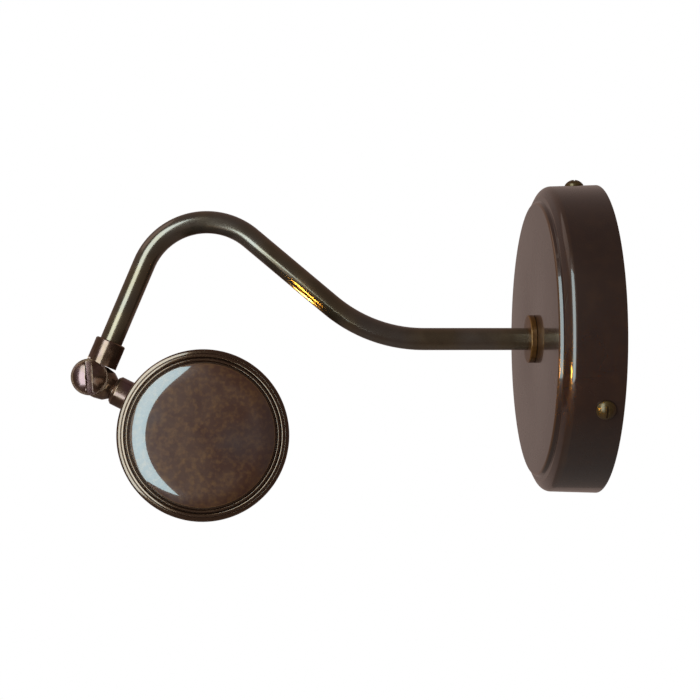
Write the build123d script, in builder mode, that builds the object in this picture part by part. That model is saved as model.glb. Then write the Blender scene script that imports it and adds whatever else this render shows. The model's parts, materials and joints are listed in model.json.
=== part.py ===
"""Wall lamp with a swan-neck arm on a round rose and a horizontal barrel shade on a knuckle.

Millimetres, +Z up. The origin is the centre of the face that meets the wall, +Y points into
the wall and the arm reaches out along -Y. The barrel lies along X.
"""

from build123d import *
from math import asin, cos, degrees, hypot, radians, sin, sqrt, tan
import os

# Rose and wall bracket
rose_back_radius = 69.4
rose_wall_radius = 69.0
rose_wall_depth = 17.5
rose_step_radius = 64.0
rose_step_depth = 25.5
rose_face_radius = 60.0
rose_depth = 27.6
rose_skin = 1.5
rose_edge = 1.1
rose_ledge = 1.0
rose_bore_radius = 6.5
bracket_radius = 67.0
bracket_sheet = 1.6
tab_width = 16.0
tab_depth = 14.0
tab_outer = 66.4
side_screw_depth = 7.9
side_screw_angles = (92, 212, 332)
side_screw_radius = 2.0
side_head_radius = 4.2
side_head_height = 3.4
wall_hole_spacing = 80.0
wall_hole_radius = 2.25
cable_hole_drop = 32.0
cable_hole_radius = 8.0

# Arm: path of the tube's axis in the YZ plane, as distance from the wall and height
tube_radius = 5.0
tube_wall = 1.0
tube_end_depth = 17.4
rise_angle = 40.0
leg_angle = 67.2
first_bend_depth = 101.1
second_bend_depth = 186.3
first_bend_radius = 65.0
second_bend_radius = 30.2
collar_radius = 10.8
collar_width = 2.6
swivel_gap = 0.1
swivel_range = 90.0

# Knuckle
pivot_depth = 226.1
pivot_height = -16.85
near_ear_radius = 8.1
near_ear_gap = 0.25
web_thickness = 4.0
web_reach = 4.2
far_ear_half_width = 7.3
far_ear_tip = 7.6
far_ear_corner = 5.5
washer_half = 0.2
spot_face = 5.2
socket_radius = 6.8
socket_bottom = 7.1
socket_top = 18.1
socket_floor = 10.4
neck_radius = 4.9
neck_start = 11.5
neck_end = 18.2
knuckle_screw_radius = 3.0
knuckle_head_radius = 6.85
knuckle_head_height = 3.2
knuckle_slot_width = 2.8
knuckle_slot_depth = 1.5
slot_turn = 3.0
grub_height = 14.5
grub_radius = 1.2

# Head
stem_angle = 26.9
stem_reach = 56.2
coupler_start = 11.8
coupler_radius = 6.6
barrel_radius = 30.8
barrel_wall = 0.8
barrel_half = 98.0
window_length = 120.0
window_width = 40.0
window_corner = 8.0
saddle_top = 32.4
strip_face = 28.1
reflector_radius = 20.1
holder_start = -76.8
lamp_radius = 12.5

tight = 0.05   # radial play of a turning fit
play = 0.3     # room between a moving ear and the scallop that it turns in


def spot(depth, height, across=0.0):
    """A point given by its distance from the wall, its height and its place along X."""
    return Vector(across, -depth, height)


def cap_height(rise, radius, place):
    """Height of a spherical cap of this rise and base radius, at a distance from its axis."""
    ball = (radius**2 + rise**2) / (2 * rise)
    return sqrt(ball**2 - place**2) - (ball - rise)


def facing_out(depth):
    """A plane parallel to the wall, seen from the room: local x is X and local y is Z."""
    return Plane(origin=spot(depth, 0), x_dir=(1, 0, 0), z_dir=(0, -1, 0))


def save(builder, name, finished):
    """Label a finished piece and write its STEP file."""
    builder.part.label = name
    export_step(builder.part, f"parts/{name}.step")
    finished[name] = builder.part


os.makedirs("parts", exist_ok=True)
pieces = {}

# ------------------------------------------------------------------ rose and bracket

# The rose: a spun cover with a straight side, a round shoulder and a stepped flat face.
with BuildPart() as rose:
    with BuildSketch(Plane.XY):
        with BuildLine():
            side = Line((rose_back_radius, 0), (rose_wall_radius, -rose_wall_depth))
            shoulder = TangentArc(side @ 1, (rose_step_radius, -rose_step_depth), tangent=(0, -1))
            ledge = Line(shoulder @ 1, (rose_step_radius - rose_ledge, -rose_step_depth - 0.1))
            riser = Line(ledge @ 1, (rose_face_radius + rose_edge, -rose_depth + rose_edge))
            edge = TangentArc(riser @ 1, (rose_face_radius, -rose_depth), tangent=(0, -1))
            face = Line(edge @ 1, (rose_bore_radius, -rose_depth))
            bore = Line(face @ 1, (rose_bore_radius, -rose_depth + rose_skin))
            inner_face = Line(bore @ 1, (rose_face_radius - 0.2, -rose_depth + rose_skin))
            inner_riser = Line(inner_face @ 1, (rose_step_radius - 2.4, -rose_step_depth + 0.9))
            inner_ledge = Line(inner_riser @ 1, (rose_step_radius - 1.4, -rose_step_depth + 1.4))
            inner_shoulder = TangentArc(
                (rose_wall_radius - rose_skin, -rose_wall_depth), inner_ledge @ 1, tangent=(0, -1)
            )
            inner_side = Line(inner_shoulder @ 0, (rose_back_radius - rose_skin, 0))
            Line(inner_side @ 1, side @ 0)
        make_face()
    revolve(axis=Axis.Y)
    for angle in side_screw_angles:
        outward = Vector(cos(radians(angle)), 0, sin(radians(angle)))
        with BuildSketch(Plane(origin=spot(side_screw_depth, 0) + outward * 60, z_dir=outward)):
            Circle(side_screw_radius + 0.2)
        extrude(amount=12, mode=Mode.SUBTRACT)
save(rose, "rose", pieces)

# The wall bracket: a pressed disc with three upright tabs that the side screws bite into.
with BuildPart() as wall_bracket:
    with BuildSketch(facing_out(0)):
        Circle(bracket_radius)
        with Locations((-wall_hole_spacing / 2, 0), (wall_hole_spacing / 2, 0)):
            Circle(wall_hole_radius, mode=Mode.SUBTRACT)
        with Locations((0, -cable_hole_drop)):
            Circle(cable_hole_radius, mode=Mode.SUBTRACT)
    extrude(amount=bracket_sheet)
    for angle in side_screw_angles:
        outward = Vector(cos(radians(angle)), 0, sin(radians(angle)))
        tab_plane = Plane(origin=outward * tab_outer, x_dir=(0, -1, 0), z_dir=outward)
        with BuildSketch(tab_plane):
            with Locations((tab_depth / 2, 0)):
                Rectangle(tab_depth, tab_width)
        extrude(amount=-bracket_sheet)
        with BuildSketch(tab_plane):
            with Locations((side_screw_depth, 0)):
                Circle(side_screw_radius)
        extrude(amount=-bracket_sheet, mode=Mode.SUBTRACT)
save(wall_bracket, "wall_bracket", pieces)

# Side screws: domed heads on the outside of the rose, shanks through to the tabs.
with BuildPart() as side_screws:
    for angle in side_screw_angles:
        outward = Vector(cos(radians(angle)), 0, sin(radians(angle)))
        seat = rose_back_radius - 0.1
        with BuildSketch(Plane(origin=spot(side_screw_depth, 0), x_dir=outward, z_dir=(0, 1, 0))):
            with BuildLine():
                shank_end = (tab_outer - bracket_sheet - 2.0, 0)
                start = Line(shank_end, (shank_end[0], side_screw_radius))
                shank = Line(start @ 1, (seat, side_screw_radius))
                under = Line(shank @ 1, (seat, side_head_radius))
                rim = Line(under @ 1, (seat + 0.7, side_head_radius))
                crown = side_head_height - 0.7
                half_way = seat + 0.7 + cap_height(crown, side_head_radius, side_head_radius / 2)
                dome = ThreePointArc(
                    rim @ 1, (half_way, side_head_radius / 2), (seat + side_head_height, 0)
                )
                Line(dome @ 1, start @ 0)
            make_face()
        revolve(axis=Axis(spot(side_screw_depth, 0), outward))
save(side_screws, "side_screws", pieces)

# Rubber grommet in the cable hole, with a flange inside the rose.
with BuildPart() as grommet:
    with BuildSketch(facing_out(0.0)):
        with Locations((0, -cable_hole_drop)):
            Circle(cable_hole_radius)
            Circle(5.5, mode=Mode.SUBTRACT)
    extrude(amount=bracket_sheet)
    with BuildSketch(facing_out(bracket_sheet)):
        with Locations((0, -cable_hole_drop)):
            Circle(cable_hole_radius + 2.5)
            Circle(5.5, mode=Mode.SUBTRACT)
    extrude(amount=2.0)
save(grommet, "grommet", pieces)

# Terminal block: three ways, with a brass clamp tube and a clamp screw in each.
block_height = 31.0
block_depth = 13.0
clamp_depth = 7.5
way_places = (-10.0, 0.0, 10.0)
with BuildPart() as terminal_block:
    with BuildSketch(facing_out(bracket_sheet)):
        with Locations((0, block_height)):
            RectangleRounded(32, 16, 1.5)
    extrude(amount=block_depth)
    for place in way_places:
        with BuildSketch(Plane(origin=spot(clamp_depth, block_height - 10, place), z_dir=(0, 0, 1))):
            Circle(2.6)
        extrude(amount=20, mode=Mode.SUBTRACT)
        with BuildSketch(facing_out(clamp_depth)):
            with Locations((place, block_height)):
                Circle(2.2)
        extrude(amount=10, mode=Mode.SUBTRACT)
    with BuildSketch(facing_out(bracket_sheet)):
        with Locations((5, block_height)):
            Circle(1.5)
    extrude(amount=block_depth, mode=Mode.SUBTRACT)
save(terminal_block, "terminal_block", pieces)

with BuildPart() as terminal_clamps:
    for place in way_places:
        with BuildSketch(Plane(origin=spot(clamp_depth, block_height - 6, place), z_dir=(0, 0, 1))):
            Circle(2.6)
            Circle(1.5, mode=Mode.SUBTRACT)
        extrude(amount=12)
    for place in way_places:
        with BuildSketch(facing_out(clamp_depth + 1)):
            with Locations((place, block_height)):
                Circle(1.25)
        extrude(amount=3, mode=Mode.SUBTRACT)
save(terminal_clamps, "terminal_clamps", pieces)

with BuildPart() as terminal_screws:
    for place in way_places:
        with BuildSketch(facing_out(clamp_depth + 1.0)):
            with Locations((place, block_height)):
                Circle(1.25)
        extrude(amount=2.0)
        with BuildSketch(facing_out(clamp_depth + 3.0)):
            with Locations((place, block_height)):
                Circle(2.0)
        extrude(amount=2.6)
save(terminal_screws, "terminal_screws", pieces)

with BuildPart() as block_screw:
    with BuildSketch(facing_out(bracket_sheet)):
        with Locations((5, block_height)):
            Circle(1.5)
    extrude(amount=block_depth)
    with BuildSketch(facing_out(bracket_sheet + block_depth)):
        with Locations((5, block_height)):
            Circle(2.7)
    extrude(amount=1.8)
    fillet(block_screw.faces().sort_by(Axis.Y)[0].edges(), 0.8)
save(block_screw, "block_screw", pieces)

# Earth tag and its screw, on the bracket beside the cable hole.
earth_place = (30.0, -22.0)
with BuildPart() as earth_tag:
    with BuildSketch(facing_out(bracket_sheet)):
        with Locations(earth_place):
            Circle(4.2)
        with Locations((earth_place[0] - 8, earth_place[1])):
            Rectangle(12, 3.2)
        with Locations(earth_place):
            Circle(2.0, mode=Mode.SUBTRACT)
    extrude(amount=0.8)
save(earth_tag, "earth_tag", pieces)

with BuildPart() as earth_screw:
    with BuildSketch(facing_out(bracket_sheet)):
        with Locations(earth_place):
            Circle(2.0)
    extrude(amount=0.8)
    with BuildSketch(facing_out(bracket_sheet + 0.8)):
        with Locations(earth_place):
            Circle(3.9)
    extrude(amount=2.4)
    fillet(earth_screw.faces().sort_by(Axis.Y)[0].edges(), 1.2)
save(earth_screw, "earth_screw", pieces)

# Nylon bush in the middle of the rose: the tube turns in it.
with BuildPart() as rose_bush:
    with BuildSketch(facing_out(rose_depth - rose_skin)):
        Circle(rose_bore_radius)
        Circle(tube_radius + tight, mode=Mode.SUBTRACT)
    extrude(amount=rose_skin)
    with BuildSketch(facing_out(rose_depth - rose_skin - 1.4)):
        Circle(10)
        Circle(tube_radius + tight, mode=Mode.SUBTRACT)
    extrude(amount=1.4)
save(rose_bush, "rose_bush", pieces)

# Two stop pins inside the rose, met by the tab of the stop washer at the ends of the swivel.
stop_pin_radius = 1.25
stop_circle = 12.2
tab_half_width = 2.0
stop_angle = swivel_range + 1.0 + degrees(asin((tab_half_width + stop_pin_radius) / stop_circle))
with BuildPart() as stop_pins:
    with BuildSketch(facing_out(rose_depth - rose_skin - 4.0)):
        for turn in (90 - stop_angle, 90 + stop_angle):
            with Locations((stop_circle * cos(radians(turn)), stop_circle * sin(radians(turn)))):
                Circle(stop_pin_radius)
    extrude(amount=4.0)
save(stop_pins, "stop_pins", pieces)

# Leads from the terminal block down to the end of the arm's flex.
rose_leads_radius = 1.0
with BuildPart() as rose_leads:
    for place in way_places:
        start = spot(clamp_depth, block_height - 6.5, place)
        near_axis = place * 0.24
        with BuildLine() as lead_path:
            FilletPolyline(
                start, spot(clamp_depth, 15, place), spot(7.0, 6.5, near_axis * 1.6),
                spot(8.2, 0.6, near_axis), radius=[4, 4],
            )
        with BuildSketch(Plane(origin=start, z_dir=(0, 0, -1))):
            Circle(rose_leads_radius)
        sweep()
save(rose_leads, "rose_leads", pieces)

# ------------------------------------------------------------------ arm

leg_up = Vector(0, cos(radians(leg_angle)), sin(radians(leg_angle)))
leg_in = Vector(0, sin(radians(leg_angle)), -cos(radians(leg_angle)))
pivot = spot(pivot_depth, pivot_height)
second_bend_height = (second_bend_depth - first_bend_depth) * tan(radians(rise_angle))
second_bend = spot(second_bend_depth, second_bend_height)
leg_offset = (second_bend - pivot).dot(leg_in)   # the leg's axis passes this far from the pivot
leg_foot = pivot + leg_in * leg_offset


def on_leg(height):
    """A plane across the leg, this far up it from the pivot: local x is X, local y is leg_in."""
    return Plane(origin=leg_foot + leg_up * height, x_dir=(1, 0, 0), z_dir=leg_up)


def arm_route(start_depth, end_height):
    """The corners of the arm's axis, from inside the rose to a height on the leg."""
    return (spot(start_depth, 0), spot(first_bend_depth, 0), second_bend, leg_foot + leg_up * end_height)


with BuildPart() as arm_tube:
    with BuildLine() as arm_path:
        FilletPolyline(
            *arm_route(tube_end_depth, socket_floor), radius=[first_bend_radius, second_bend_radius]
        )
    with BuildSketch(facing_out(tube_end_depth)):
        Circle(tube_radius)
        Circle(tube_radius - tube_wall, mode=Mode.SUBTRACT)
    sweep()
save(arm_tube, "arm_tube", pieces)

# The flex inside the tube, three cores in one sheath.
flex_radius = 2.6
with BuildPart() as arm_flex:
    with BuildLine() as flex_path:
        FilletPolyline(
            *arm_route(10.0, socket_floor + 0.5), radius=[first_bend_radius, second_bend_radius]
        )
    with BuildSketch(facing_out(10.0)):
        Circle(flex_radius)
    sweep()
save(arm_flex, "arm_flex", pieces)

# Insulating bush in the tube's inner end.
with BuildPart() as tube_bush:
    with BuildSketch(facing_out(tube_end_depth - 1.2)):
        Circle(tube_radius + 0.4)
        Circle(flex_radius + 0.1, mode=Mode.SUBTRACT)
    extrude(amount=1.2)
    with BuildSketch(facing_out(tube_end_depth)):
        Circle(tube_radius - tube_wall)
        Circle(flex_radius + 0.1, mode=Mode.SUBTRACT)
    extrude(amount=5.0)
save(tube_bush, "tube_bush", pieces)

# Collar on the tube, just clear of the rose's face.
with BuildPart() as arm_collar:
    with BuildSketch(facing_out(rose_depth + swivel_gap)):
        Circle(collar_radius)
        Circle(tube_radius, mode=Mode.SUBTRACT)
    extrude(amount=collar_width)
    chamfer(arm_collar.edges().filter_by(GeomType.CIRCLE).sort_by(Edge.radius)[-2:], 0.35)
save(arm_collar, "arm_collar", pieces)

stop_washer_depth = rose_depth - rose_skin - 1.4 - swivel_gap - 1.0
with BuildPart() as stop_washer:
    with BuildSketch(facing_out(stop_washer_depth)):
        Circle(9)
        with Locations((0, 10)):
            Rectangle(2 * tab_half_width, 8.5)
        Circle(tube_radius, mode=Mode.SUBTRACT)
    extrude(amount=1.0)
save(stop_washer, "stop_washer", pieces)

with BuildPart() as spring_washer:
    with BuildSketch(facing_out(stop_washer_depth - 1.2)):
        Circle(8.4)
        Circle(tube_radius + 0.1, mode=Mode.SUBTRACT)
    extrude(amount=1.2)
save(spring_washer, "spring_washer", pieces)

with BuildPart() as lock_nut:
    with BuildSketch(facing_out(stop_washer_depth - 5.2)):
        RegularPolygon(7.0, 6, major_radius=False)
        Circle(tube_radius, mode=Mode.SUBTRACT)
    extrude(amount=4.0)
save(lock_nut, "lock_nut", pieces)

# ------------------------------------------------------------------ knuckle

to_head = Vector(0, cos(radians(stem_angle)), -sin(radians(stem_angle)))
stem_side = Vector(0, sin(radians(stem_angle)), cos(radians(stem_angle)))
pivot_axis = Axis(pivot, (1, 0, 0))


def on_stem(reach):
    """A plane across the stem, this far from the pivot: local x is X, local y points up."""
    return Plane(origin=pivot + to_head * reach, x_dir=(-1, 0, 0), z_dir=to_head)


def across_pivot(place):
    """A plane across the pivot screw, this far along X: local x points along the stem."""
    return Plane(origin=pivot + Vector(place, 0, 0), x_dir=to_head, z_dir=(1, 0, 0))


# Upper half: a socket for the tube, and a round ear on the near side of the pivot.
far_scallop = hypot(far_ear_tip - far_ear_corner, far_ear_half_width - far_ear_corner) + far_ear_corner + play
near_scallop = near_ear_radius + play
with BuildPart() as knuckle_upper:
    with BuildSketch(on_leg(socket_bottom)):
        Circle(socket_radius)
    extrude(amount=socket_top - socket_bottom)
    chamfer(knuckle_upper.faces().sort_by(Axis(pivot, leg_up))[-1].edges(), 0.5)
    with BuildSketch(across_pivot(-20)):
        Circle(far_scallop)
    extrude(amount=20 + near_ear_gap, mode=Mode.SUBTRACT)
    with BuildSketch(across_pivot(near_ear_gap)):
        Circle(near_ear_radius)
    extrude(amount=spot_face - near_ear_gap)
    with BuildSketch(Plane(origin=pivot + Vector(near_ear_gap, 0, 0), x_dir=leg_in, z_dir=(1, 0, 0))):
        with BuildLine():
            Polyline(
                (0, 0), (web_reach, socket_bottom), (web_reach, socket_bottom + 1.0),
                (leg_offset - socket_radius, socket_bottom + 1.0), (0, 0),
            )
        make_face()
    extrude(amount=web_thickness)
    with BuildSketch(across_pivot(spot_face)):
        Circle(knuckle_head_radius + 0.45)
    extrude(amount=20, mode=Mode.SUBTRACT)
    with BuildSketch(across_pivot(0)):
        Circle(knuckle_screw_radius + tight)
    extrude(amount=20, mode=Mode.SUBTRACT)
    with BuildSketch(on_leg(socket_floor)):
        Circle(tube_radius)
    extrude(amount=20, mode=Mode.SUBTRACT)
    with BuildSketch(on_leg(socket_bottom)):
        Circle(2.8)
    extrude(amount=8, mode=Mode.SUBTRACT)
    with BuildSketch(Plane(origin=leg_foot + leg_up * grub_height, x_dir=(1, 0, 0), z_dir=-leg_in)):
        Circle(grub_radius)
    extrude(amount=10, mode=Mode.SUBTRACT)
save(knuckle_upper, "knuckle_upper", pieces)

# Grub screw that locks the tube in its socket, on the side away from the wall.
grub_length = socket_radius - 0.2 - tube_radius
with BuildPart() as grub_screw:
    with BuildSketch(Plane(
        origin=leg_foot + leg_up * grub_height - leg_in * tube_radius, x_dir=(1, 0, 0), z_dir=-leg_in,
    )):
        Circle(grub_radius)
    extrude(amount=grub_length)
save(grub_screw, "grub_screw", pieces)

# Lower half: a turned body with a round-cornered ear on the far side and a threaded neck.
with BuildPart() as knuckle_lower:
    with BuildSketch(across_pivot(0)):
        with BuildLine():
            tip = Line((-far_ear_tip, 0), (-far_ear_tip, far_ear_half_width - far_ear_corner))
            corner = TangentArc(
                tip @ 1, (far_ear_corner - far_ear_tip, far_ear_half_width), tangent=(0, 1)
            )
            Polyline(
                corner @ 1, (5.6, far_ear_half_width), (9.2, 6.6), (neck_start, neck_radius),
                (neck_end, neck_radius), (neck_end, 0), tip @ 0,
            )
        make_face()
    revolve(axis=Axis(pivot, to_head))
    with BuildSketch(across_pivot(-washer_half)):
        Circle(near_scallop)
        with Locations((-20, 0)):
            Rectangle(40, 40)
    extrude(amount=20, mode=Mode.SUBTRACT)
    with BuildSketch(across_pivot(-20)):
        Circle(knuckle_screw_radius)
    extrude(amount=40, mode=Mode.SUBTRACT)
    with BuildSketch(on_stem(near_scallop + 0.5)):
        Circle(2.6)
    extrude(amount=20, mode=Mode.SUBTRACT)
save(knuckle_lower, "knuckle_lower", pieces)

# Friction washer between the ears.
with BuildPart() as knuckle_washer:
    with BuildSketch(across_pivot(-washer_half)):
        Circle(6.6)
        Circle(knuckle_screw_radius, mode=Mode.SUBTRACT)
    extrude(amount=2 * washer_half)
save(knuckle_washer, "knuckle_washer", pieces)

# Pivot screw: a wide domed head with a deep slot; it turns in the near ear and grips the far one.
head_seat = spot_face + 0.1
head_rim = 0.9
with BuildPart() as knuckle_screw:
    with BuildSketch(Plane(origin=pivot, x_dir=(1, 0, 0), z_dir=(0, -1, 0))):
        with BuildLine():
            shank_end = Line((-far_ear_half_width, 0), (-far_ear_half_width, knuckle_screw_radius))
            shank = Line(shank_end @ 1, (head_seat, knuckle_screw_radius))
            under = Line(shank @ 1, (head_seat, knuckle_head_radius))
            rim = Line(under @ 1, (head_seat + head_rim, knuckle_head_radius))
            crown = knuckle_head_height - head_rim
            half_way = head_seat + head_rim + cap_height(crown, knuckle_head_radius, knuckle_head_radius / 2)
            dome = ThreePointArc(
                rim @ 1, (half_way, knuckle_head_radius / 2), (head_seat + knuckle_head_height, 0)
            )
            Line(dome @ 1, shank_end @ 0)
        make_face()
    revolve(axis=pivot_axis)
    with BuildSketch(Plane(
        origin=pivot + Vector(head_seat + knuckle_head_height - knuckle_slot_depth, 0, 0),
        x_dir=(0, sin(radians(slot_turn)), -cos(radians(slot_turn))), z_dir=(1, 0, 0),
    )):
        Rectangle(20, knuckle_slot_width)
    extrude(amount=5, mode=Mode.SUBTRACT)
save(knuckle_screw, "knuckle_screw", pieces)

# ------------------------------------------------------------------ head

head = pivot + to_head * stem_reach
head_axis = Axis(head, (1, 0, 0))
head_profile = Plane(origin=head, x_dir=(1, 0, 0), z_dir=(0, -1, 0))


def towards_stem(radius):
    """A plane square to the stem, this far from the head's axis, facing the knuckle."""
    return Plane(origin=head - to_head * radius, x_dir=(1, 0, 0), z_dir=-to_head)


def along_head(place):
    """A plane across the barrel: local x points to the stem."""
    return Plane(origin=head + Vector(place, 0, 0), x_dir=-to_head, z_dir=(1, 0, 0))


# Coupler between the knuckle and the shade, and the curved saddle under it.
coupler_end = stem_reach - saddle_top
with BuildPart() as stem_coupler:
    with BuildSketch(on_stem(coupler_start)):
        Circle(coupler_radius)
    extrude(amount=coupler_end - coupler_start)
    chamfer(stem_coupler.faces().sort_by(Axis(pivot, to_head))[0].edges(), 1.0)
    chamfer(stem_coupler.faces().sort_by(Axis(pivot, to_head))[-1].edges(), 0.4)
    with BuildSketch(on_stem(coupler_start)):
        Circle(neck_radius)
    extrude(amount=neck_end - coupler_start, mode=Mode.SUBTRACT)
    with BuildSketch(on_stem(neck_end)):
        Circle(tube_radius)
    extrude(amount=20, mode=Mode.SUBTRACT)
save(stem_coupler, "stem_coupler", pieces)

with BuildPart() as saddle:
    with BuildSketch(towards_stem(barrel_radius - 4)):
        Circle(8.6)
        Circle(tube_radius, mode=Mode.SUBTRACT)
    extrude(amount=saddle_top - barrel_radius + 4)
    with BuildSketch(along_head(-20)):
        Circle(barrel_radius)
    extrude(amount=40, mode=Mode.SUBTRACT)
save(saddle, "saddle", pieces)

# The shade: a tube with a long window on the side away from the stem.
with BuildPart() as barrel:
    with BuildSketch(along_head(-barrel_half)):
        Circle(barrel_radius)
        Circle(barrel_radius - barrel_wall, mode=Mode.SUBTRACT)
    extrude(amount=2 * barrel_half)
    with BuildSketch(Plane(origin=head, x_dir=(1, 0, 0), z_dir=to_head)):
        RectangleRounded(window_length, window_width, window_corner)
    extrude(amount=40, mode=Mode.SUBTRACT)
    with BuildSketch(towards_stem(0)):
        Circle(tube_radius)
    extrude(amount=40, mode=Mode.SUBTRACT)
save(barrel, "barrel", pieces)

# End caps: spun, with a beaded rim and a cushioned face. One outline serves both ends.
cap_fit = barrel_radius + 0.05
for end, cap_name in ((1, "near_cap"), (-1, "far_cap")):
    with BuildPart() as end_cap:
        with BuildSketch(head_profile):
            with BuildLine():
                skirt = Polyline(
                    (end * 97.9, cap_fit), (end * 88.0, cap_fit), (end * 88.0, cap_fit + 0.9),
                    (end * 96.4, cap_fit + 0.9), (end * 97.0, 33.3),
                )
                rim = ThreePointArc(skirt @ 1, (end * 98.3, 33.75), (end * 99.5, 33.25))
                flange = Line(rim @ 1, (end * 100.1, 32.1))
                bead = ThreePointArc(flange @ 1, (end * 100.9, 31.2), (end * 100.3, 30.4))
                ring = ThreePointArc(bead @ 1, (end * 101.2, 29.7), (end * 100.5, 28.9))
                groove = Line(ring @ 1, (end * 100.5, 28.3))
                wall = Line(groove @ 1, (end * 101.3, 28.1))
                shoulder = ThreePointArc(wall @ 1, (end * 103.2, 26.2), (end * 104.2, 22.5))
                middle = (end * (104.2 + cap_height(0.8, 22.5, 11.0)), 11.0)
                crown = ThreePointArc(shoulder @ 1, middle, (end * 105.0, 0))
                inside = Polyline(
                    crown @ 1, (end * 104.0, 0), (end * 103.1, 22.2), (end * 100.4, 27.2),
                    (end * 99.3, 28.4), (end * 99.3, 30.4), (end * 98.4, cap_fit), skirt @ 0,
                )
            make_face()
        revolve(axis=head_axis)
    save(end_cap, cap_name, pieces)

# Hollow nipple through the wall of the shade, and the nut that pulls it tight.
nut_face = strip_face - 3.0
with BuildPart() as shade_nipple:
    with BuildSketch(towards_stem(nut_face)):
        Circle(tube_radius)
        Circle(3.4, mode=Mode.SUBTRACT)
    extrude(amount=stem_reach - neck_end - 0.2 - nut_face)
save(shade_nipple, "shade_nipple", pieces)

with BuildPart() as shade_nut:
    with BuildSketch(towards_stem(nut_face)):
        RegularPolygon(7.0, 6, major_radius=False)
        Circle(tube_radius, mode=Mode.SUBTRACT)
    extrude(amount=strip_face - nut_face)
save(shade_nut, "shade_nut", pieces)

# Bracket inside the shade: a strip along the stem side, turned up at one end for the lampholder.
strip_thickness = 1.0
strip_near_end = 56.0
with BuildPart() as holder_bracket:
    with BuildSketch(towards_stem(strip_face)):
        with Locations(((strip_near_end + holder_start - 1.2) / 2, 0)):
            Rectangle(strip_near_end - holder_start + 1.2, 14)
        Circle(tube_radius, mode=Mode.SUBTRACT)
    extrude(amount=strip_thickness)
    with BuildSketch(along_head(holder_start - 1.2)):
        with Locations(((strip_face - 8) / 2, 0)):
            Rectangle(strip_face + 8, 14)
        Circle(8.0)
        Circle(tube_radius, mode=Mode.SUBTRACT)
    extrude(amount=1.2)
save(holder_bracket, "holder_bracket", pieces)

# Curved reflector behind the lamp, on two rivets.
reflector_sheet = 0.6
reflector_start = -36.0
reflector_length = 92.0
post_places = (18.0, 50.0)
with BuildPart() as reflector:
    with BuildSketch(along_head(reflector_start)):
        Circle(reflector_radius)
        Circle(reflector_radius - reflector_sheet, mode=Mode.SUBTRACT)
        with Locations((-reflector_radius * 1.26, 0)):
            Rectangle(2 * reflector_radius, 3 * reflector_radius, mode=Mode.SUBTRACT)
    extrude(amount=reflector_length)
    with BuildSketch(towards_stem(0)):
        with Locations(*[(place, 0) for place in post_places]):
            Circle(1.5)
    extrude(amount=30, mode=Mode.SUBTRACT)
save(reflector, "reflector", pieces)

with BuildPart() as reflector_rivets:
    with BuildSketch(towards_stem(reflector_radius + 0.2)):
        with Locations(*[(place, 0) for place in post_places]):
            Circle(2.4)
    extrude(amount=strip_face - reflector_radius - 0.2)
    with BuildSketch(towards_stem(reflector_radius - 1.2)):
        with Locations(*[(place, 0) for place in post_places]):
            Circle(1.4)
    extrude(amount=2.0)
save(reflector_rivets, "reflector_rivets", pieces)

# Lampholder, screwed to the bracket's upright by its own nipple and nut.
holder_length = 37.0
with BuildPart() as lampholder:
    with BuildSketch(along_head(holder_start)):
        Circle(12.0)
    extrude(amount=holder_length)
    chamfer(lampholder.faces().sort_by(Axis.X)[0].edges(), 1.5)
    with BuildSketch(along_head(holder_start + 9)):
        Circle(9.6)
    extrude(amount=holder_length, mode=Mode.SUBTRACT)
    with BuildSketch(along_head(holder_start)):
        Circle(tube_radius)
    extrude(amount=6, mode=Mode.SUBTRACT)
save(lampholder, "lampholder", pieces)

with BuildPart() as holder_thread:
    with BuildSketch(along_head(holder_start + 9)):
        Circle(8.2)
        Circle(6.95, mode=Mode.SUBTRACT)
    extrude(amount=22)
save(holder_thread, "holder_thread", pieces)

with BuildPart() as holder_nipple:
    with BuildSketch(along_head(holder_start - 6.4)):
        Circle(tube_radius)
        Circle(3.4, mode=Mode.SUBTRACT)
    extrude(amount=12.4)
save(holder_nipple, "holder_nipple", pieces)

with BuildPart() as holder_nut:
    with BuildSketch(along_head(holder_start - 5.2)):
        RegularPolygon(7.0, 6, major_radius=False)
        Circle(tube_radius, mode=Mode.SUBTRACT)
    extrude(amount=4.0)
save(holder_nut, "holder_nut", pieces)

# Tubular lamp: brass screw cap, centre contact, glass and filament stick.
cap_start = holder_start + 12.0
cap_length = 20.0
glass_end = 52.0
with BuildPart() as lamp_contact:
    with BuildSketch(along_head(cap_start - 2.0)):
        Circle(3.2)
    extrude(amount=2.0)
save(lamp_contact, "lamp_contact", pieces)

with BuildPart() as lamp_cap:
    with BuildSketch(along_head(cap_start)):
        Circle(6.9)
    extrude(amount=cap_length)
    with BuildSketch(along_head(cap_start + 1)):
        Circle(6.3)
    extrude(amount=cap_length, mode=Mode.SUBTRACT)
save(lamp_cap, "lamp_cap", pieces)

glass_start = cap_start + cap_length
glass_wall = 0.8
with BuildPart() as lamp_glass:
    with BuildSketch(head_profile):
        with BuildLine():
            neck = Line((glass_start - 8, 6.3 - glass_wall), (glass_start - 8, 6.3))
            throat = Line(neck @ 1, (glass_start + 1, 6.3))
            flare = Spline(
                throat @ 1, (glass_start + 12, lamp_radius), tangents=[(1, 0), (1, 0)]
            )
            body = Line(flare @ 1, (glass_end - lamp_radius, lamp_radius))
            end_round = RadiusArc(body @ 1, (glass_end, 0), lamp_radius)
            tip = Line(end_round @ 1, (glass_end - glass_wall, 0))
            inner_round = RadiusArc(
                tip @ 1, (glass_end - lamp_radius, lamp_radius - glass_wall), glass_wall - lamp_radius
            )
            inner_body = Line(inner_round @ 1, (glass_start + 12, lamp_radius - glass_wall))
            inner_flare = Spline(
                inner_body @ 1, (glass_start + 1, 6.3 - glass_wall), tangents=[(-1, 0), (-1, 0)]
            )
            Line(inner_flare @ 1, neck @ 0)
        make_face()
    revolve(axis=head_axis)
save(lamp_glass, "lamp_glass", pieces)

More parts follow.
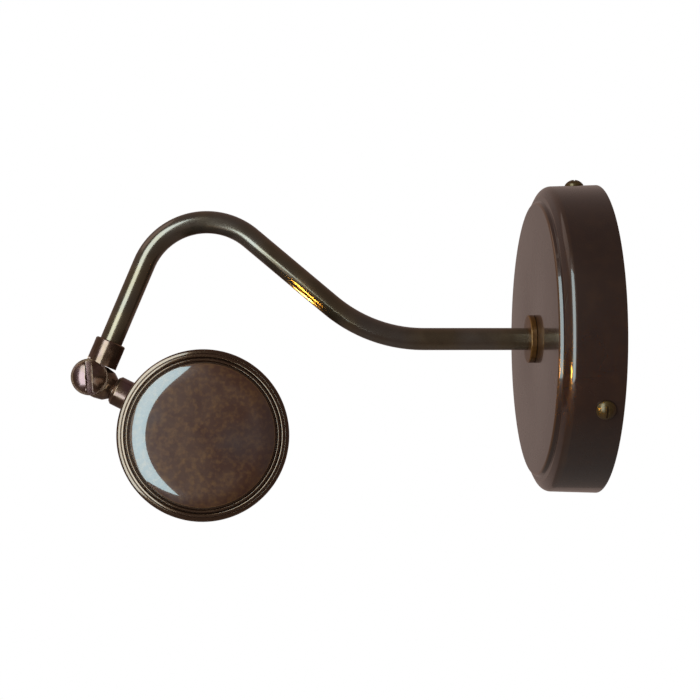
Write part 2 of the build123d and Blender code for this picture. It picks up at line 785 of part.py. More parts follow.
with BuildPart() as filament:
    with BuildSketch(along_head(glass_start + 14)):
        Circle(2.0)
    extrude(amount=56)
    with BuildSketch(along_head(glass_start - 6)):
        Circle(1.0)
    extrude(amount=20)
save(filament, "filament", pieces)

# Leads from the nipple, under the reflector and up to the lampholder's back.
with BuildPart() as head_leads:
    for shift in (-1.3, 1.3):
        base = head + stem_side * shift
        start = base - to_head * 34
        with BuildLine() as lead_route:
            FilletPolyline(
                start, base - to_head * 22.6, base - to_head * 22.6 + Vector(-68, 0, 0),
                base - to_head * 12.1 + Vector(-68, 0, 0), radius=[3, 5],
            )
        with BuildSketch(Plane(origin=start, z_dir=to_head)):
            Circle(0.9)
        sweep()
save(head_leads, "head_leads", pieces)

print(f"{len(pieces)} pieces, stem offset from the leg {leg_offset:.2f}")
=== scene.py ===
import json
from math import atan2, ceil, cos, degrees, pi, radians, sin, sqrt, tan

import bmesh
import bpy
from mathutils import Matrix, Vector


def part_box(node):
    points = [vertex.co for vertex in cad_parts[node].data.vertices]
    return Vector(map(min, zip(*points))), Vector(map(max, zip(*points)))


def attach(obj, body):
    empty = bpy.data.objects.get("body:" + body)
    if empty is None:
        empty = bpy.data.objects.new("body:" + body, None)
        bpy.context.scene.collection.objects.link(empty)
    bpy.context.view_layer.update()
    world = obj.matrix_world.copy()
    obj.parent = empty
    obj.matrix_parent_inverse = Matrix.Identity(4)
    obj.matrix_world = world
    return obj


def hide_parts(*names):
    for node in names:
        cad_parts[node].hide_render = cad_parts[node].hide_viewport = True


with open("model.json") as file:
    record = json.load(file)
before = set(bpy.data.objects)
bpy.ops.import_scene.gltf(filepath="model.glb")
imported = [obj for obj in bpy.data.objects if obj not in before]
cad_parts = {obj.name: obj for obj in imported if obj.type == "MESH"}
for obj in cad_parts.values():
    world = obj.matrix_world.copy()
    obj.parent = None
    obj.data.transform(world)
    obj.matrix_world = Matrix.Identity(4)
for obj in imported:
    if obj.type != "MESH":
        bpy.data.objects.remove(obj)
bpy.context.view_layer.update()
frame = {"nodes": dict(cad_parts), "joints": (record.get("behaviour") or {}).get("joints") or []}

mm = 0.001
nodes = frame["nodes"]
joints = {joint["name"]: joint for joint in frame["joints"]}
pivot = Vector(joints["head_tilt"]["pos_m"])
capLow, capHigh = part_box("near_cap")
head = Vector((0, (capLow.y + capHigh.y) / 2, (capLow.z + capHigh.z) / 2))   # on the barrel's axis
toHead = (head - pivot).normalized()

camera = {
    "place": (0.8248, -0.1744, -0.0382),
    "target": (0, -0.1106, -0.0049),
    "roll": -0.22,    # degrees
    "lens": 95.1,     # millimetres
    "nearest": 0.05,
}
eye = bpy.data.objects.new("eye", bpy.data.cameras.new("eye"))
bpy.context.collection.objects.link(eye)
eye.location = camera["place"]
eye.rotation_euler = (Vector(camera["target"]) - eye.location).to_track_quat("-Z", "Y").to_euler()
eye.rotation_euler.rotate_axis("Z", radians(camera["roll"]))
eye.data.lens = camera["lens"]
eye.data.clip_start = camera["nearest"]
bpy.context.scene.camera = eye
bpy.context.scene.view_settings.view_transform = "Standard"

# name: place, aimed at, width, height, watts, colour
softLights = {
    "window": ((0.736, -0.595, 0.14), (0, -0.16, 0.08), 0.55, 1.4, 15, (0.64, 0.92, 1.0)),
    "sky": ((-0.2, -1.6, 1.7), (0, -0.12, 0), 1.6, 1.2, 3, (1.0, 0.92, 0.84)),
    "backFill": ((-1.0, -1.1, 0.5), (0, -0.1, 0), 1.2, 1.0, 4, (1.0, 0.95, 0.90)),
    # tiny gold lamps near the metal, for the glints on the rose's rings and under the slope of the arm
    "ringGlint": ((0.094, -0.109, -0.046), (0.066, -0.015, -0.018), 0.004, 0.014, 0.002, (1.0, 0.60, 0.08)),
    "tubeGlint": ((0.0158, -0.1536, -0.0076), (0, -0.13, 0.0206), 0.003, 0.015, 0.0006, (1.0, 0.60, 0.08)),
    "edgeGlint": ((-0.0175, -0.1495, -0.0026), (0, -0.13, 0.0206), 0.003, 0.012, 0.0009, (1.0, 0.62, 0.12)),
}
glintSpread = 32    # degrees; keeps the tiny lamps from lighting much more than their glints
for name, (place, aim, width, height, watts, colour) in softLights.items():
    light = bpy.data.lights.new(name, "AREA")
    light.shape = "RECTANGLE"
    light.size, light.size_y = width, height
    light.energy = watts
    light.color = colour
    if name.endswith("Glint"):
        light.spread = radians(glintSpread)
    holder = bpy.data.objects.new(name, light)
    holder.location = place
    holder.rotation_euler = (Vector(aim) - Vector(place)).to_track_quat("-Z", "Y").to_euler()
    holder.visible_camera = False
    holder.visible_glossy = name != "backFill"
    bpy.context.collection.objects.link(holder)

# a white backdrop for the camera; everything else sees warm walls, paler on the far side
walls = {
    "colour": (1.0, 0.75, 0.66, 1),
    "fade": {"From Min": -0.9, "From Max": 0.6, "To Min": 0.25, "To Max": 0.12},
}
room = bpy.data.worlds.new("room")
room.use_nodes = True
bpy.context.scene.world = room
roomNodes, roomLinks = room.node_tree.nodes, room.node_tree.links
roomNodes.clear()
roomOut = roomNodes.new("ShaderNodeOutputWorld")
backdrop = roomNodes.new("ShaderNodeBackground")
backdrop.inputs["Color"].default_value = (1, 1, 1, 1)
warmWalls = roomNodes.new("ShaderNodeBackground")
warmWalls.inputs["Color"].default_value = walls["colour"]
spots = roomNodes.new("ShaderNodeTexCoord")
parts = roomNodes.new("ShaderNodeSeparateXYZ")
fade = roomNodes.new("ShaderNodeMapRange")
for name, value in walls["fade"].items():
    fade.inputs[name].default_value = value
rays = roomNodes.new("ShaderNodeLightPath")
choice = roomNodes.new("ShaderNodeMixShader")
roomLinks.new(spots.outputs["Generated"], parts.inputs[0])
roomLinks.new(parts.outputs["X"], fade.inputs["Value"])
roomLinks.new(fade.outputs[0], warmWalls.inputs["Strength"])
roomLinks.new(rays.outputs["Is Camera Ray"], choice.inputs[0])
roomLinks.new(warmWalls.outputs[0], choice.inputs[1])
roomLinks.new(backdrop.outputs[0], choice.inputs[2])
roomLinks.new(choice.outputs[0], roomOut.inputs[0])

floor = {"drop": 1.9, "radius": 3.2, "colour": (0.64, 0.62, 0.60)}
print("stage ready")


class Wire:    # a socket that can be used in sums
    def __init__(self, finish, socket):
        self.finish = finish
        self.socket = socket

    def sum(self, operation, first, second):
        return self.finish.add("ShaderNodeMath", {"operation": operation}, {0: first, 1: second})

    def __add__(self, other):
        return self.sum("ADD", self, other)

    def __radd__(self, other):
        return self.sum("ADD", other, self)

    def __sub__(self, other):
        return self.sum("SUBTRACT", self, other)

    def __rsub__(self, other):
        return self.sum("SUBTRACT", other, self)

    def __mul__(self, other):
        return self.sum("MULTIPLY", self, other)

    def __rmul__(self, other):
        return self.sum("MULTIPLY", other, self)


class Finish:    # a Principled material and the nodes that feed it
    def __init__(self, name, **values):
        self.material = bpy.data.materials.new(name)
        self.material.use_nodes = True
        self.tree = self.material.node_tree
        self.tree.nodes.clear()
        self.shader = self.tree.nodes.new("ShaderNodeBsdfPrincipled")
        out = self.tree.nodes.new("ShaderNodeOutputMaterial")
        self.tree.links.new(self.shader.outputs[0], out.inputs[0])
        for name, value in values.items():
            self.set(**{name: value})

    def put(self, socket, value):
        if isinstance(value, Wire):
            self.tree.links.new(value.socket, socket)
        elif isinstance(value, tuple) and len(value) == 3 and socket.type == "RGBA":
            socket.default_value = (*value, 1)
        else:
            socket.default_value = value

    def set(self, **values):
        for name, value in values.items():
            self.put(self.shader.inputs[name.replace("_", " ")], value)

    def add(self, kind, settings, inputs, output=0):
        node = self.tree.nodes.new(kind)
        stops = settings.pop("stops", None)
        for name, value in settings.items():
            setattr(node, name, value)
        if stops:
            ramp = node.color_ramp.elements
            while len(ramp) < len(stops):
                ramp.new(0.5)
            for element, (place, grey) in zip(ramp, stops):
                element.position = place
                element.color = (grey, grey, grey, 1)
        for name, value in inputs.items():
            self.put(node.inputs[name], value)
        return Wire(self, node.outputs[output])

    def place(self, centre=(0, 0, 0), stretch=(1, 1, 1)):
        # object coordinates measured from a centre and stretched
        spot = self.add("ShaderNodeTexCoord", {}, {}, "Object")
        moved = self.add("ShaderNodeVectorMath", {"operation": "SUBTRACT"}, {0: spot, 1: centre})
        return self.add("ShaderNodeVectorMath", {"operation": "MULTIPLY"}, {0: moved, 1: stretch})

    def noise(self, size, detail=3.0, where=None, warp=0.0):
        # cloudy values, mostly 0.3 to 0.7; size in metres
        inputs = {"Vector": where or self.place(), "Scale": 1 / size, "Detail": detail, "Distortion": warp}
        return self.add("ShaderNodeTexNoise", {}, inputs)

    def steps(self, value, *stops):
        return self.add("ShaderNodeValToRGB", {"stops": stops}, {"Fac": value})

    def blend(self, factor, first, second, way="MIX"):
        node = self.tree.nodes.new("ShaderNodeMix")
        node.data_type = "RGBA"
        node.blend_type = way
        self.put(node.inputs[0], factor)
        self.put(node.inputs[6], first)
        self.put(node.inputs[7], second)
        return Wire(self, node.outputs[2])

    def bump(self, height, depth):
        return self.add("ShaderNodeBump", {}, {"Height": height, "Distance": depth, "Strength": 1.0})

    def edges(self):
        # 0 in hollows, 0.5 on flats, 1 on ridges
        return self.add("ShaderNodeAttribute", {"attribute_name": "ridge"}, {}, "Fac")


# brush: how fine the lines are along X, Y and Z; gloss: roughness; lacquer, coat: the clear coat's weight and
# index; rimFrom: radius of the bare rim; flecks, depth, grain: strength of specks, bump and lines
def patina(
    name, deep, warm, worn, tint, brush, gloss, lacquer, metal=1.0, centre=(0, 0, 0), size=0.012, coat=1.5,
    rimFrom=None, flecks=0.35, depth=0.000015, grain=0.04,
):
    # brown chemical finish on brass: clouds, a cool or pink bloom, brush lines, paler ridges
    finish = Finish(name, Metallic=metal, Coat_Weight=lacquer, Coat_Roughness=0.05, Coat_IOR=coat)
    cloud = finish.steps(finish.noise(size, 5.0, warp=0.6), (0.32, 0.0), (0.68, 1.0))
    fleck = finish.steps(finish.noise(size / 7, 4.0), (0.45, 0.0), (0.75, 1.0))
    elsewhere = finish.place((0.3, 0.1, 0.2))
    haze = finish.steps(finish.noise(size * 1.9, 2.0, elsewhere), (0.48, 0.0), (0.66, 1.0))
    lines = finish.noise(1.0, 3.0, finish.place(centre, brush))
    colour = finish.blend(cloud, deep, warm)
    colour = finish.blend(fleck * flecks, colour, worn)
    colour = finish.blend(haze * 0.5, colour, tint)
    colour = finish.blend(finish.steps(finish.edges(), (0.53, 0.0), (0.72, 1.0)) * 0.65, colour, worn)
    colour = finish.blend(finish.steps(finish.edges(), (0.30, 1.0), (0.47, 0.0)) * 0.7, colour, deep)
    rough = gloss + cloud * 0.07
    if rimFrom:
        # outside this radius about X the lacquer has been rubbed thin
        across = finish.place(centre, (0, 1, 1))
        away = finish.add("ShaderNodeVectorMath", {"operation": "LENGTH"}, {0: across}, "Value")
        rim = finish.steps((away - rimFrom) * 1000 + 0.5, (0.4, 0.0), (0.7, 1.0))
        finish.set(Coat_Weight=lacquer - rim * 0.5, Metallic=metal + rim * 0.6)
        colour = finish.blend(rim * 0.75, colour, (0.15, 0.083, 0.050))
        rough = rough - rim * 0.15
        lines = lines * (1 - rim)
        fleck = fleck * (1 - rim)
    colour = finish.blend(lines * 0.4, colour, (0.5, 0.5, 0.5), "MULTIPLY")
    rough = rough + lines * grain
    finish.set(Base_Color=colour, Roughness=rough)
    finish.set(Normal=finish.bump(lines * 0.7 + fleck * 0.3, depth))
    return finish.material


def plain(name, colour, rough, metal=0.0, dirt=0.25, grain=0.0006, depth=0.00001, **values):
    # one colour with soft staining and a fine grain
    finish = Finish(name, Metallic=metal, **values)
    stain = finish.steps(finish.noise(0.009, 4.0), (0.35, 0.0), (0.7, 1.0))
    fine = finish.noise(grain, 2.0)
    darker = tuple(part * (1 - dirt) for part in colour)
    finish.set(Base_Color=finish.blend(stain, colour, darker), Roughness=rough + fine * 0.12)
    finish.set(Normal=finish.bump(fine, depth))
    return finish.material


roseFinish = patina(
    "rosePatina", (0.043, 0.018, 0.013), (0.052, 0.0215, 0.0145), (0.20, 0.070, 0.020), (0.046, 0.024, 0.020),
    (60, 25, 60), 0.22, 1.0, metal=0.5, size=0.04, coat=1.46, flecks=0.08,
)
armFinish = patina(
    "armPatina", (0.155, 0.100, 0.058), (0.220, 0.140, 0.082), (0.28, 0.16, 0.08), (0.17, 0.136, 0.135),
    (200, 30, 30), 0.16, 0.45, metal=0.85, size=0.014, coat=1.6, flecks=0.12, depth=0.0000006,
)
knuckleFinish = patina(
    "knucklePatina", (0.12, 0.055, 0.034), (0.22, 0.115, 0.072), (0.34, 0.19, 0.10), (0.24, 0.115, 0.14),
    (200, 200, 200), 0.16, 0.5, metal=0.9, size=0.005, flecks=0.15, depth=0.000001,
)
shadeFinish = patina(
    "shadePatina", (0.056, 0.0115, 0.004), (0.086, 0.026, 0.010), (0.21, 0.078, 0.020), (0.060, 0.034, 0.032),
    (500, 40, 1200), 0.30, 1.0, metal=0.35, centre=tuple(head), size=0.014, coat=1.75, rimFrom=0.0283,
    flecks=0.5,
)
collarFinish = patina(
    "collarBrass", (0.09, 0.027, 0.004), (0.15, 0.050, 0.009), (0.28, 0.11, 0.025), (0.11, 0.045, 0.015),
    (200, 900, 200), 0.26, 0.15, metal=0.6, size=0.008,
)
screwFinish = patina(
    "screwBrass", (0.045, 0.020, 0.004), (0.09, 0.043, 0.010), (0.22, 0.12, 0.04), (0.08, 0.038, 0.015),
    (500, 500, 500), 0.28, 0.2, metal=0.6, size=0.004,
)
bareBrass = plain("bareBrass", (0.72, 0.52, 0.22), 0.22, 1.0)
zincSteel = plain("zincSteel", (0.60, 0.61, 0.62), 0.28, 1.0)
aluminium = plain("reflectorSheet", (0.86, 0.86, 0.87), 0.18, 1.0, dirt=0.08)
nylon = plain("nylon", (0.82, 0.81, 0.76), 0.42, dirt=0.10)
rubber = plain("rubber", (0.025, 0.025, 0.026), 0.62, depth=0.00004)
sheath = plain("flexSheath", (0.045, 0.040, 0.035), 0.40)
blackMoulding = plain("blackMoulding", (0.022, 0.020, 0.019), 0.22)
phosphor = plain("phosphorStick", (0.95, 0.68, 0.16), 0.5, dirt=0.15)


def clearGlass():
    finish = Finish("lampGlass", Transmission_Weight=1.0, IOR=1.45)
    film = finish.noise(0.02, 2.0)
    clear, smoky = (0.98, 0.97, 0.95), (0.93, 0.92, 0.90)
    finish.set(Base_Color=finish.blend(film, clear, smoky), Roughness=film * 0.04)
    return finish.material


def leadColours():
    # live, neutral and earth lie side by side along X
    finish = Finish("leads", Roughness=0.38)
    across = finish.add("ShaderNodeSeparateXYZ", {}, {0: finish.place()}, "X")
    brown = finish.steps(across * 100 + 0.5, (0.40, 1.0), (0.46, 0.0))
    blue = finish.steps(across * 100 + 0.5, (0.54, 0.0), (0.60, 1.0))
    colour = finish.blend(brown, (0.10, 0.35, 0.06), (0.12, 0.05, 0.02))
    colour = finish.blend(blue, colour, (0.03, 0.12, 0.45))
    fine = finish.noise(0.002, 2.0)
    finish.set(Base_Color=finish.blend(fine * 0.3, colour, (0.02, 0.02, 0.02)))
    return finish.material


glass = clearGlass()
leads = leadColours()
stageFinish = plain("stageFloor", floor["colour"], 0.7, dirt=0.03)
print("finishes ready")


def softened(corners, closed=False, finest=4, arcStep=9):
    # rounds each (place, radius, rounding) corner of an outline with an arc; all in millimetres
    points = []
    count = len(corners)
    for index, (place, radius, rounding) in enumerate(corners):
        here = Vector((place, radius))
        if not closed and index in (0, count - 1) or rounding == 0:
            points.append(here)
            continue
        before = Vector(corners[index - 1][:2]) - here
        after = Vector(corners[(index + 1) % count][:2]) - here
        half = before.angle(after) / 2
        cut = min(rounding / tan(half), before.length * 0.49, after.length * 0.49)
        round_ = cut * tan(half)
        start, end = here + before.normalized() * cut, here + after.normalized() * cut
        middle = here + (before.normalized() + after.normalized()).normalized() * (round_ / sin(half))
        turn = pi - 2 * half
        steps = max(finest, ceil(degrees(turn) / arcStep))
        first = start - middle
        side = 1 if first.x * (end - middle).y - first.y * (end - middle).x > 0 else -1
        for step in range(steps + 1):
            angle = side * turn * step / steps
            points.append(middle + Vector((
                first.x * cos(angle) - first.y * sin(angle), first.x * sin(angle) + first.y * cos(angle),
            )))
    return points


def turned(points, closed=False, steps=160):
    # spins an outline of (place along Z, radius) about Z; millimetres in, metres out
    bm = bmesh.new()
    verts = [bm.verts.new((radius * mm, 0, place * mm)) for place, radius in points]
    edges = [bm.edges.new(pair) for pair in zip(verts, verts[1:])]
    if closed:
        edges.append(bm.edges.new((verts[-1], verts[0])))
    bmesh.ops.spin(
        bm, geom=verts + edges, cent=(0, 0, 0), axis=(0, 0, 1), angle=2 * pi, steps=steps, use_merge=True,
    )
    bmesh.ops.remove_doubles(bm, verts=bm.verts, dist=1e-6)
    bmesh.ops.recalc_face_normals(bm, faces=bm.faces)
    return bm


def placed(bm, origin, direction):
    # stands a shape made on Z along another direction
    turn = Vector(direction).to_track_quat("Z", "Y").to_matrix().to_4x4()
    bmesh.ops.transform(bm, matrix=Matrix.Translation(origin) @ turn, verts=bm.verts)


def markRidges(bm, reach=0.0012, gain=0.18):
    # the ridge attribute: how far the surface turns within the reach, from 0 in a groove to 1 on a crest
    layer = bm.verts.layers.float.new("ridge")
    for vert in bm.verts:
        turn = 0.0
        for edge in vert.link_edges:
            if edge.is_manifold:
                span = max(edge.calc_length(), 1e-6)
                widths = [face.calc_area() / span for face in edge.link_faces]
                turn += edge.calc_face_angle_signed(0) * reach / max(sum(widths), 1e-6)
        vert[layer] = min(1.0, max(0.0, 0.5 + turn * gain))


def piece(name, bm, finish, body, *replaced, sharp=40):
    # links a finished mesh, smooth but for its sharp edges, to the body that it moves with
    markRidges(bm)
    for face in bm.faces:
        face.smooth = True
    for edge in bm.edges:
        edge.smooth = edge.calc_face_angle(0) < radians(sharp)
    mesh = bpy.data.meshes.new(name)
    bm.to_mesh(mesh)
    bm.free()
    mesh.materials.append(finish)
    made = bpy.data.objects.new(name, mesh)
    bpy.context.collection.objects.link(made)
    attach(made, body)
    if replaced:
        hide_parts(*replaced)
    return made


def refined(name, node, finish, body, width=0.2, corner=35, segments=3):
    # the node's own shape, with its sharp edges rounded
    bm = bmesh.new()
    bm.from_mesh(nodes[node].data)
    bmesh.ops.remove_doubles(bm, verts=bm.verts, dist=2e-6)
    bmesh.ops.dissolve_limit(bm, angle_limit=radians(0.6), verts=bm.verts, edges=bm.edges)
    sharp = [edge for edge in bm.edges if edge.is_manifold and edge.calc_face_angle(0) > radians(corner)]
    bmesh.ops.bevel(
        bm, geom=sharp, offset=width * mm, segments=segments, profile=0.5, affect="EDGES", material=-1,
        clamp_overlap=True,
    )
    made = piece(name, bm, finish, body, node, sharp=50)
    made.modifiers.new("evenNormals", "WEIGHTED_NORMAL").keep_sharp = True
    return made


rose = {
    "outline": [
        # distance from the wall, radius, rounding
        (0.0, 69.4, 0.3), (23.2, 68.6, 8.6), (25.4, 64.2, 0.5), (25.6, 62.1, 0.5), (27.6, 61.2, 1.3),
        (27.6, 6.6, 0.15), (26.1, 6.6, 0.1), (26.1, 59.8, 0.4), (24.0, 62.0, 0.4), (21.6, 67.2, 5.6),
        (0.0, 67.9, 0.2),
    ],
    "steps": 256,
}
outline = softened(rose["outline"], closed=True)
bm = turned(outline, closed=True, steps=rose["steps"])
placed(bm, (0, 0, 0), (0, -1, 0))
piece("roseShell", bm, roseFinish, "wall_plate", "rose")


def slotted(screw, blunt, steps=64):
    # a turned screw with a slot cut across its head
    bm = turned(domed(screw), steps=steps)
    half = screw["slot"] / 2 * mm
    bottomHeight = (screw["seat"] + screw["height"] - screw["slotDepth"]) * mm
    cuts = [((side * half, 0, 0), (1, 0, 0)) for side in (-1, 1)] + [((0, 0, bottomHeight), (0, 0, 1))]
    for place, normal in cuts:
        bmesh.ops.bisect_plane(
            bm, geom=[*bm.verts, *bm.edges, *bm.faces], dist=1e-7, plane_co=place, plane_no=normal,
        )
    inside = [
        face for face in bm.faces
        if abs(face.calc_center_median().x) < half and face.calc_center_median().z > bottomHeight
    ]
    bmesh.ops.delete(bm, geom=inside, context="FACES")
    rim = [edge for edge in bm.edges if edge.is_boundary]
    for side in (-1, 1):
        wall = [
            edge for edge in rim if edge.is_valid and edge.is_boundary
            and all(abs(vert.co.x - side * half) < 1e-6 for vert in edge.verts)
        ]
        corners = [vert for vert in {vert for edge in wall for vert in edge.verts}
                   if abs(vert.co.z - bottomHeight) < 1e-6]
        if len(corners) == 2:
            bottom = bm.edges.new(corners)
            bmesh.ops.contextual_create(bm, geom=wall + [bottom])
    left = [edge for edge in bm.edges if edge.is_boundary]
    bmesh.ops.contextual_create(bm, geom=left)
    bmesh.ops.recalc_face_normals(bm, faces=bm.faces)
    sharp = [edge for edge in bm.edges if edge.calc_face_angle(0) > radians(35)]
    bmesh.ops.bevel(
        bm, geom=sharp, offset=blunt * mm, segments=2, profile=0.5, affect="EDGES", material=-1,
        clamp_overlap=True,
    )
    return bm


def domed(screw, rows=10):
    # outline of a screw's shank and head: place along the axis, radius
    radius, rise = screw["radius"], screw["height"] - screw["rim"]
    ball = (radius**2 + rise**2) / (2 * rise)
    centre = screw["seat"] + screw["height"] - ball
    crown = []
    for row in range(rows + 1):
        out = radius * (1 - row / rows)
        crown.append((centre + sqrt(ball**2 - out**2), out))
    foot, seat, shank = screw["foot"], screw["seat"], screw["shank"]
    return [(foot, 0.0), (foot, shank), (seat, shank), (seat, radius)] + crown


sideScrew = {
    "foot": 63.0, "shank": 2.0, "seat": 69.2, "radius": 4.2, "height": 3.4, "rim": 1.1, "slot": 0.9,
    "slotDepth": 1.0, "fromWall": 7.9, "angles": (92, 212, 332),
}
screwSet = bmesh.new()
for angle in sideScrew["angles"]:
    bm = slotted(sideScrew, 0.12)
    outward = (cos(radians(angle)), 0, sin(radians(angle)))
    placed(bm, (0, -sideScrew["fromWall"] * mm, 0), outward)
    oneScrew = bpy.data.meshes.new("oneScrew")
    bm.to_mesh(oneScrew)
    bm.free()
    screwSet.from_mesh(oneScrew)
    bpy.data.meshes.remove(oneScrew)
piece("sideScrews", screwSet, screwFinish, "wall_plate", "side_screws")
print("rose ready")


collar = {"outline": [(27.7, 5.0, 0), (27.7, 10.8, 0.25), (30.3, 10.8, 0.5), (30.3, 5.0, 0)], "steps": 96}
bm = turned(softened(collar["outline"], closed=True), closed=True, steps=collar["steps"])
placed(bm, (0, 0, 0), (0, -1, 0))
piece("collarRing", bm, collarFinish, "arm", "arm_collar")

arm = {
    "radius": 5.0, "wall": 1.0, "start": 17.4, "rise": 40.0, "leg": 67.2, "firstBend": 101.1,
    "secondBend": 186.3, "firstRadius": 65.0, "secondRadius": 30.2, "seat": 10.4, "sides": 64,
    "bendStep": 3,
}


def bentTube(arm):
    # a ring of edges drawn out along straight runs and spun round the bends
    rise, leg = radians(arm["rise"]), radians(arm["leg"])
    bm = bmesh.new()
    lay = Matrix.Translation((0, -arm["start"] * mm, 0)) @ Matrix.Rotation(pi / 2, 4, "X")
    bmesh.ops.create_circle(bm, segments=arm["sides"], radius=arm["radius"] * mm, matrix=lay)
    ring = list(bm.edges)
    way = Vector((0, -1, 0))
    here = Vector((0, -arm["start"] * mm, 0))

    def draw(length):
        grown = bmesh.ops.extrude_edge_only(bm, edges=ring)["geom"]
        verts = [item for item in grown if isinstance(item, bmesh.types.BMVert)]
        bmesh.ops.translate(bm, verts=verts, vec=way * length)
        return [item for item in grown if isinstance(item, bmesh.types.BMEdge)
                and all(vert in verts for vert in item.verts)], here + way * length

    def bend(angle, radius):
        side = Vector((0, 0, 1)) if angle < 0 else Vector((0, 0, -1))
        out = (side - way * side.dot(way)).normalized()
        centre = here + out * radius * mm
        steps = ceil(abs(degrees(angle)) / arm["bendStep"])
        grown = bmesh.ops.spin(
            bm, geom=ring, cent=centre, axis=(1, 0, 0), angle=angle, steps=steps, use_merge=False,
        )["geom_last"]
        turn = Matrix.Rotation(angle, 3, "X")
        last = [item for item in grown if isinstance(item, bmesh.types.BMEdge)]
        return last, centre + turn @ (here - centre), turn @ way

    firstCut = arm["firstRadius"] * tan(rise / 2)
    secondCut = arm["secondRadius"] * tan((rise + leg) / 2)
    slope = (arm["secondBend"] - arm["firstBend"]) / cos(rise)
    ring, here = draw((arm["firstBend"] - firstCut - arm["start"]) * mm)
    ring, here, way = bend(-rise, arm["firstRadius"])
    ring, here = draw((slope - firstCut - secondCut) * mm)
    ring, here, way = bend(rise + leg, arm["secondRadius"])
    toPivot = (pivot - here).dot(way)
    ring, here = draw(toPivot - arm["seat"] * mm)
    bmesh.ops.recalc_face_normals(bm, faces=bm.faces)
    bmesh.ops.solidify(bm, geom=list(bm.faces), thickness=arm["wall"] * mm)
    bmesh.ops.recalc_face_normals(bm, faces=bm.faces)
    return bm


piece("armTube", bentTube(arm), armFinish, "arm", "arm_tube")
refined("upperKnuckle", "knuckle_upper", knuckleFinish, "arm", 0.3)
print("arm ready")


refined("lowerKnuckle", "knuckle_lower", knuckleFinish, "head", 0.35)

pivotScrew = {
    "foot": -7.3, "shank": 3.0, "seat": 5.3, "radius": 7.15, "height": 3.2, "rim": 0.9, "slot": 2.9,
    "slotDepth": 2.4, "slotTurn": 3.0,
}
bm = slotted(pivotScrew, 0.15, steps=96)
turn = Matrix.Rotation(radians(pivotScrew["slotTurn"]), 3, "Z")
bmesh.ops.rotate(bm, verts=bm.verts, cent=(0, 0, 0), matrix=turn)
placed(bm, pivot, (1, 0, 0))
piece("pivotScrew", bm, knuckleFinish, "head", "knuckle_screw")

coupler = {"start": 11.8, "end": 23.8, "radius": 6.6, "bore": 5.0, "chamfer": (1.2, 1.1), "steps": 96}
along, inward = coupler["chamfer"]
outline = [
    (coupler["start"], coupler["bore"], 0.1), (coupler["start"], coupler["radius"] - inward, 0.2),
    (coupler["start"] + along, coupler["radius"], 0.35), (coupler["end"], coupler["radius"], 0.3),
    (coupler["end"], coupler["bore"], 0.1),
]
bm = turned(softened(outline, closed=True), closed=True, steps=coupler["steps"])
placed(bm, pivot, toHead)
piece("stemCoupler", bm, knuckleFinish, "head", "stem_coupler")
refined("saddleWasher", "saddle", shadeFinish, "head", 0.25)
print("knuckle ready")


refined("barrelShade", "barrel", shadeFinish, "head", 0.15)

# the cap's outline, from the skirt over the rim and the beads to the crown, then back inside
cap = {
    "skirt": [(98.4, 30.85, 0.1), (88.0, 30.85, 0.1), (88.0, 31.75, 0.25), (96.5, 31.75, 0.4)],
    "rim": [(96.9, 33.75, 0.7), (99.4, 33.75, 1.1), (100.05, 32.2, 0.2), (99.8, 32.0, 0.1)],
    "beads": [
        (100.7, 31.8, 0.35), (100.9, 30.7, 0.5), (99.9, 30.4, 0.15), (99.9, 30.15, 0.15),
        (101.3, 30.0, 0.4), (101.3, 29.1, 0.4), (100.2, 28.9, 0.12), (100.2, 28.3, 0.12),
    ],
    "foot": (100.9, 28.2),
    "edge": (102.75, 28.05),
    "slopes": (27, 3),    # degrees at the edge and where the crown begins
    "bend": 15.7,
    "bendRows": 14,
    "crown": 0.55,
    "crownRows": 8,
    "skin": 1.0,
    "lining": [(99.2, 27.4, 0.4), (98.9, 29.4, 0.3)],
    "steps": 192,
}
steep, shallow = (radians(angle) for angle in cap["slopes"])
shoulder = [(*cap["foot"], 0.0)]
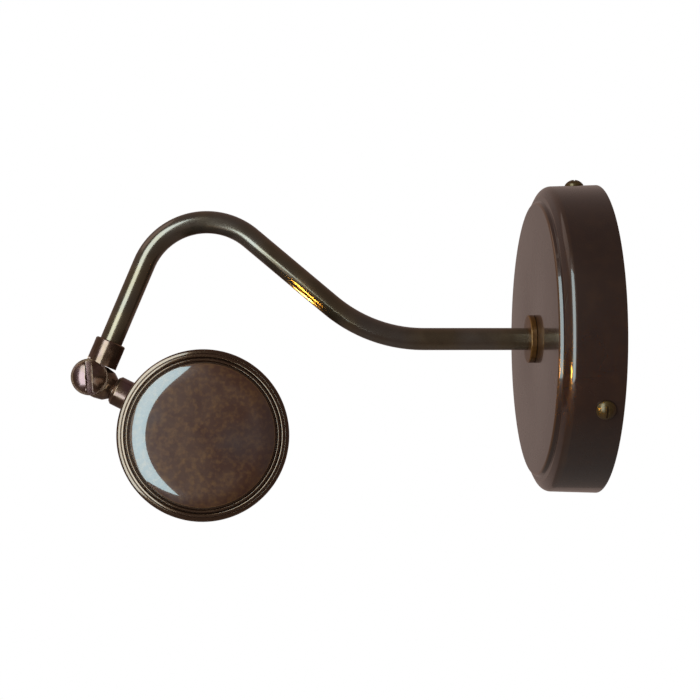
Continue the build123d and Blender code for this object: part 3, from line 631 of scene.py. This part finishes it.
for row in range(cap["bendRows"] + 1):
    slope = steep + (shallow - steep) * row / cap["bendRows"]
    shoulder.append((
        cap["edge"][0] + cap["bend"] * (cos(slope) - cos(steep)),
        cap["edge"][1] - cap["bend"] * (sin(steep) - sin(slope)), 0,
    ))
crownFoot, crownRadius, _ = shoulder[-1]
crown = []
for row in range(1, cap["crownRows"] + 1):
    part = 1 - row / cap["crownRows"]
    crown.append((crownFoot + cap["crown"] * (1 - part**2), crownRadius * part, 0))
inside = [(place - cap["skin"], out, 0) for place, out, _ in reversed(shoulder[4:] + crown)]
outer = cap["skirt"] + cap["rim"] + cap["beads"] + shoulder + crown
outline = softened(outer + inside + cap["lining"], closed=True)
for name, node, direction in (("nearCap", "near_cap", (1, 0, 0)), ("farCap", "far_cap", (-1, 0, 0))):
    bm = turned(outline, closed=True, steps=cap["steps"])
    placed(bm, head, direction)
    piece(name, bm, shadeFinish, "head", node)
print("shade ready")


# the hidden fittings keep the frame's own meshes
keptFinishes = {
    zincSteel: (
        "wall_bracket", "terminal_screws", "block_screw", "stop_pins", "stop_washer", "spring_washer",
        "grub_screw", "holder_bracket", "holder_nipple", "holder_nut", "lamp_contact",
    ),
    bareBrass: (
        "terminal_clamps", "earth_tag", "earth_screw", "lock_nut", "knuckle_washer", "shade_nipple",
        "shade_nut", "reflector_rivets", "holder_thread", "lamp_cap",
    ),
    nylon: ("terminal_block", "rose_bush", "tube_bush"),
    rubber: ("grommet",),
    sheath: ("arm_flex",),
    blackMoulding: ("lampholder",),
    aluminium: ("reflector",),
    phosphor: ("filament",),
    glass: ("lamp_glass",),
    leads: ("rose_leads", "head_leads"),
}
for finish, names in keptFinishes.items():
    for name in names:
        nodes[name].material_slots[0].material = finish

bm = bmesh.new()
lowered = Matrix.Translation((0, 0, -floor["drop"]))
bmesh.ops.create_circle(bm, cap_ends=True, segments=96, radius=floor["radius"], matrix=lowered)
ground = bpy.data.meshes.new("ground")
bm.to_mesh(ground)
bm.free()
ground.materials.append(stageFinish)
groundObject = bpy.data.objects.new("ground", ground)
bpy.context.collection.objects.link(groundObject)
print("fittings ready")
